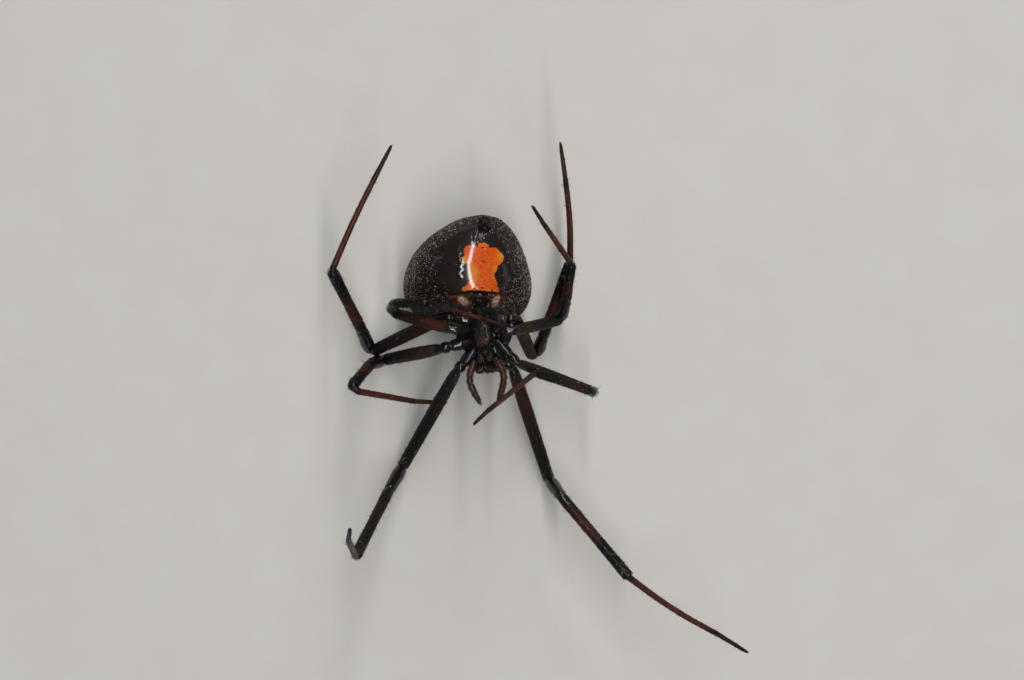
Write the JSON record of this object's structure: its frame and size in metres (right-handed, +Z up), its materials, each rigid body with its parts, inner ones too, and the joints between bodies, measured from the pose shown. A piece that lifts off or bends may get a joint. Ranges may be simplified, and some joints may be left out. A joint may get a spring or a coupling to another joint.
{
  "type": "black widow spider figure",
  "caption": "Life-size still model of a female black widow spider lying belly up, legs curled and reaching, with an orange-red hourglass mark on the round black abdomen.",
  "frame": {"origin": "centre of the bounding box in plan, on the floor the back of the abdomen rests on", "axes": "+Z up, the way the belly faces; +Y from the head to the spinnerets; +X to the image's right, the spider's own right side"},
  "size_m": [0.024, 0.029, 0.0167],
  "materials": {
    "abdomen_black": "glossy black cuticle with very short pale bristles",
    "prosoma_black": "shiny black cuticle, faintly grained",
    "leg_black": "shiny black cuticle with short dark hairs",
    "leg_dark_brown": "satin dark brown cuticle with short dark hairs",
    "leg_brown": "satin reddish brown cuticle, dark at the ends",
    "orange_mark": "smooth glossy orange-red cuticle",
    "eye_gloss": "very glossy black lens"
  },
  "bodies": {
    "root": {"eye_front_middle_left": "eye_gloss", "eye_front_middle_right": "eye_gloss", "eye_front_side_left": "eye_gloss", "eye_front_side_right": "eye_gloss", "eye_rear_middle_left": "eye_gloss", "eye_rear_middle_right": "eye_gloss", "eye_rear_side_left": "eye_gloss", "eye_rear_side_right": "eye_gloss", "carapace": "prosoma_black", "sternum": "prosoma_black", "mouthparts": "prosoma_black", "chelicera_left": "prosoma_black", "chelicera_right": "prosoma_black", "palp_left": "leg_dark_brown", "palp_right": "leg_dark_brown", "left_leg_1_coxa": "leg_black", "left_leg_1_femur": "leg_dark_brown", "left_leg_1_patella": "leg_black", "left_leg_1_tibia": "leg_brown", "left_leg_1_tarsus": "leg_brown", "left_leg_2_coxa": "leg_black", "left_leg_2_femur": "leg_dark_brown", "left_leg_2_patella": "leg_black", "left_leg_2_tibia": "leg_brown", "left_leg_2_tarsus": "leg_brown", "left_leg_3_coxa": "leg_black", "left_leg_3_femur": "leg_dark_brown", "left_leg_3_patella": "leg_black", "left_leg_3_tibia": "leg_brown", "left_leg_3_tarsus": "leg_brown", "left_leg_4_coxa": "leg_black", "left_leg_4_femur": "leg_dark_brown", "left_leg_4_patella": "leg_black", "left_leg_4_tibia": "leg_brown", "left_leg_4_tarsus": "leg_brown", "right_leg_1_coxa": "leg_black", "right_leg_1_femur": "leg_dark_brown", "right_leg_1_patella": "leg_black", "right_leg_1_tibia": "leg_brown", "right_leg_1_tarsus": "leg_brown", "right_leg_2_coxa": "leg_black", "right_leg_2_femur": "leg_dark_brown", "right_leg_2_patella": "leg_black", "right_leg_2_tibia": "leg_brown", "right_leg_2_tarsus": "leg_brown", "right_leg_3_coxa": "leg_black", "right_leg_3_femur": "leg_dark_brown", "right_leg_3_patella": "leg_black", "right_leg_3_tibia": "leg_brown", "right_leg_3_tarsus": "leg_brown", "right_leg_4_coxa": "leg_black", "right_leg_4_femur": "leg_dark_brown", "right_leg_4_patella": "leg_black", "right_leg_4_tibia": "leg_brown", "right_leg_4_tarsus": "leg_brown", "pedicel": "prosoma_black", "hourglass": "orange_mark", "epigynum": "abdomen_black", "spinnerets": "abdomen_black", "abdomen": "abdomen_black"}
  },
  "joints": []
}
